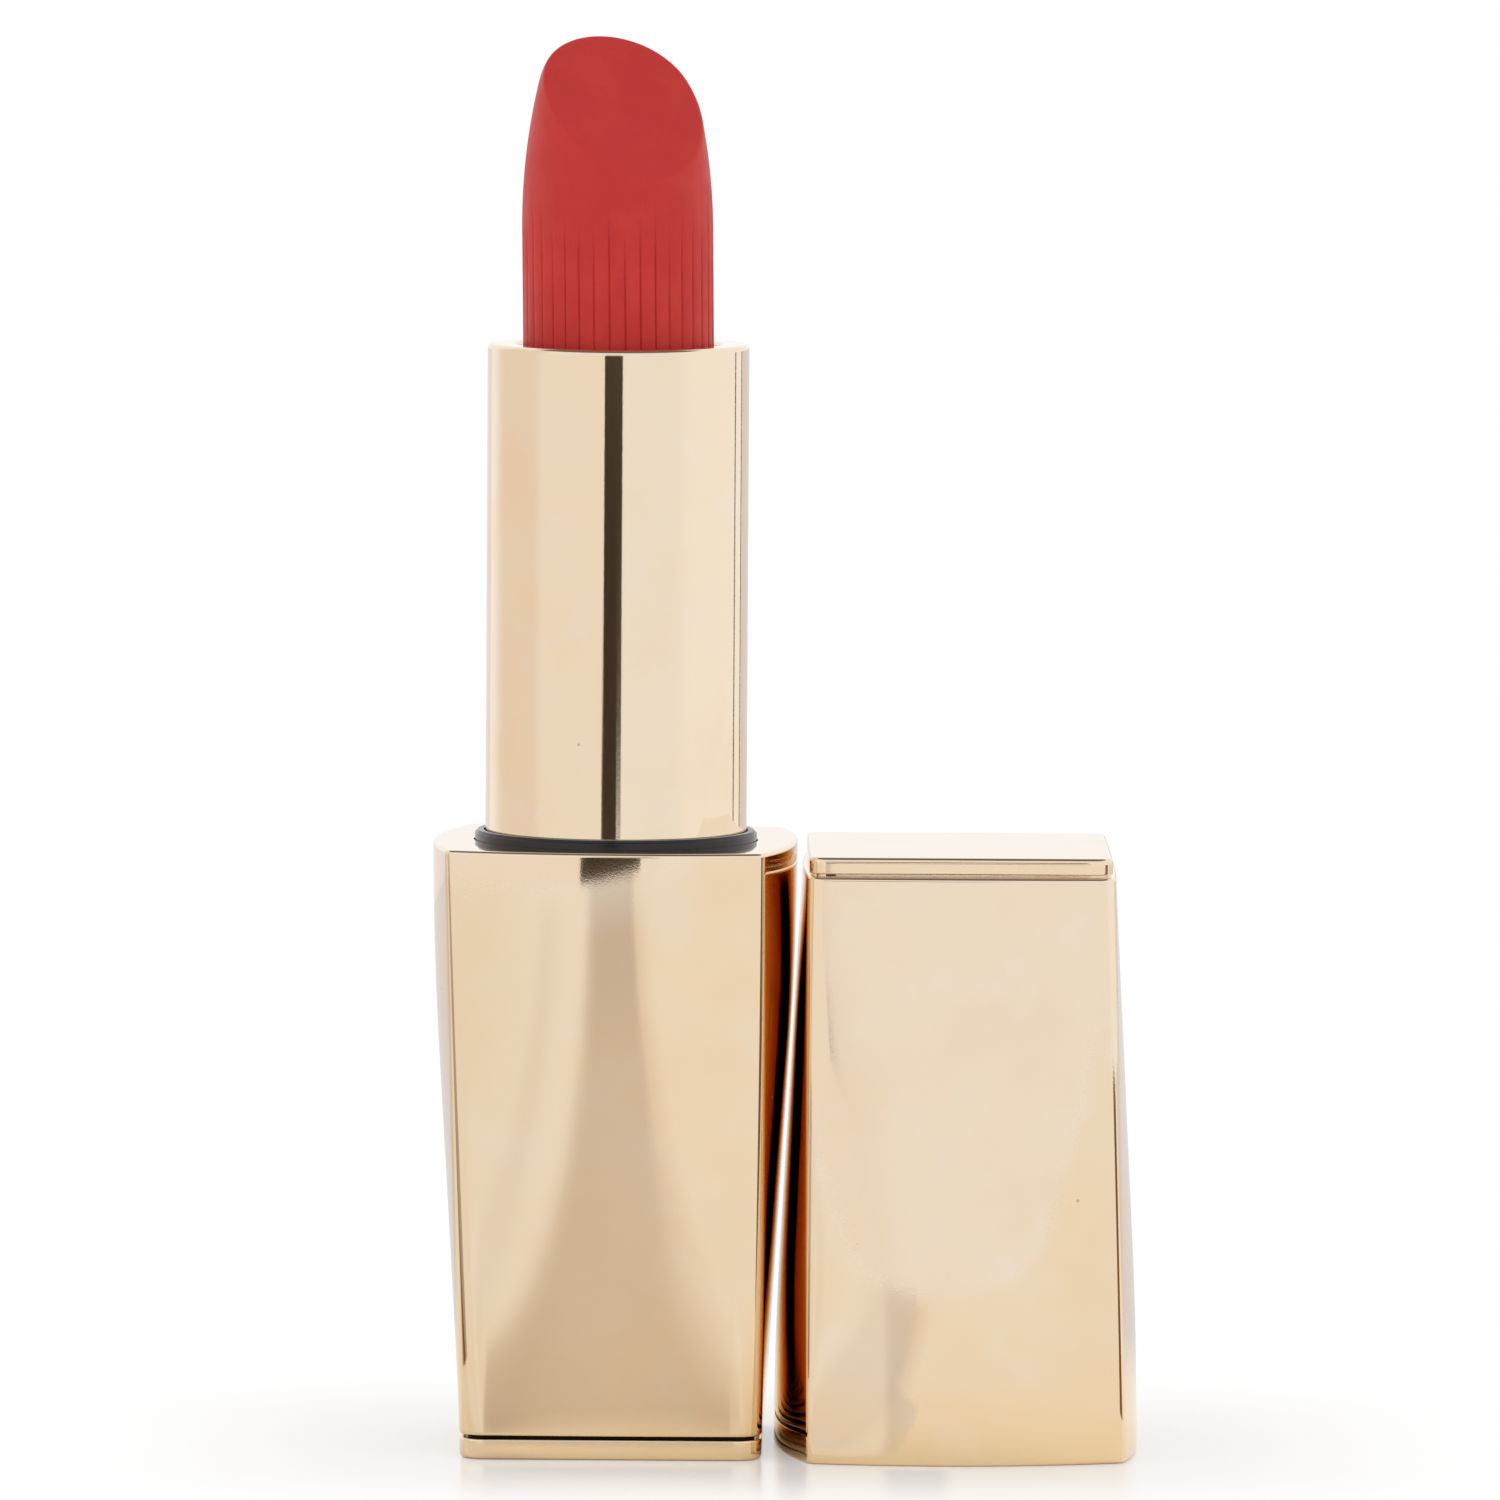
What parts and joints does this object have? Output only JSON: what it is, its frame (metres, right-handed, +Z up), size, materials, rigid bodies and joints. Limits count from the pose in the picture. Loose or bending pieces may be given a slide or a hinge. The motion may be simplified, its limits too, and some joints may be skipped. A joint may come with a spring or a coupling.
{
  "type": "lipstick case",
  "caption": "Square, slightly twisted gold lipstick case with a wind-up refill raised, its slant-cut stick fluted, and the cap standing beside it.",
  "frame": {"origin": "centre of the base's underside, on the surface that the base and the cap stand on", "axes": "+Z up along the base's axis, +X towards the cap standing beside the base, -Y towards the viewer"},
  "size_m": [0.0448, 0.023, 0.0893],
  "materials": {
    "gold_case": "mirror polished, champagne gold plating",
    "gold_plate": "mirror polished, champagne gold plating",
    "gold_sleeve": "bright anodised, champagne gold",
    "black_gloss": "polished black",
    "dark_plastic": "moulded",
    "white_plastic": "moulded",
    "grip_rubber": "matt",
    "steel": "turned",
    "magnet": "nickel plated",
    "label_paper": "satin",
    "lip_colour": "waxy satin"
  },
  "bodies": {
    "base": {"base_shell": "gold_case", "base_plate": "gold_plate", "shade_label": "label_paper", "base_weight": "steel", "base_socket": "dark_plastic", "base_magnets": "magnet", "collar_ring": "black_gloss"},
    "refill": {"refill_foot": "white_plastic", "grip_ring": "grip_rubber", "inner_tube": "white_plastic", "brake_ring": "grip_rubber"},
    "sleeve": {"sleeve_shell": "gold_sleeve", "helix_tube": "white_plastic"},
    "carrier": {"carrier_cup": "white_plastic", "bullet": "lip_colour"},
    "cap": {"cap_shell": "gold_case", "cap_top_plate": "gold_plate", "cap_weight": "steel", "cap_liner": "dark_plastic", "cap_magnets": "magnet"}
  },
  "joints": [
    {"name": "refill_lift", "type": "slide", "parent": "base", "child": "refill", "axis": [0, 0, 1], "range_m": [0, 0.03]},
    {"name": "sleeve_turn", "type": "hinge", "parent": "refill", "child": "sleeve", "pos_m": [0, 0, 0.05], "axis": [0, 0, 1], "range_deg": [-540, 0]},
    {"name": "bullet_rise", "type": "slide", "parent": "refill", "child": "carrier", "axis": [0, 0, 1], "range_m": [-0.02101, 0]},
    {"name": "cap_lift", "type": "slide", "parent": "base", "child": "cap", "axis": [0.2079, 0, 0.9781], "range_m": [0, 0.06]}
  ],
  "couplings": [
    {"joint": "bullet_rise", "follows": "sleeve_turn", "m_per_rad": 0.0022282}
  ]
}
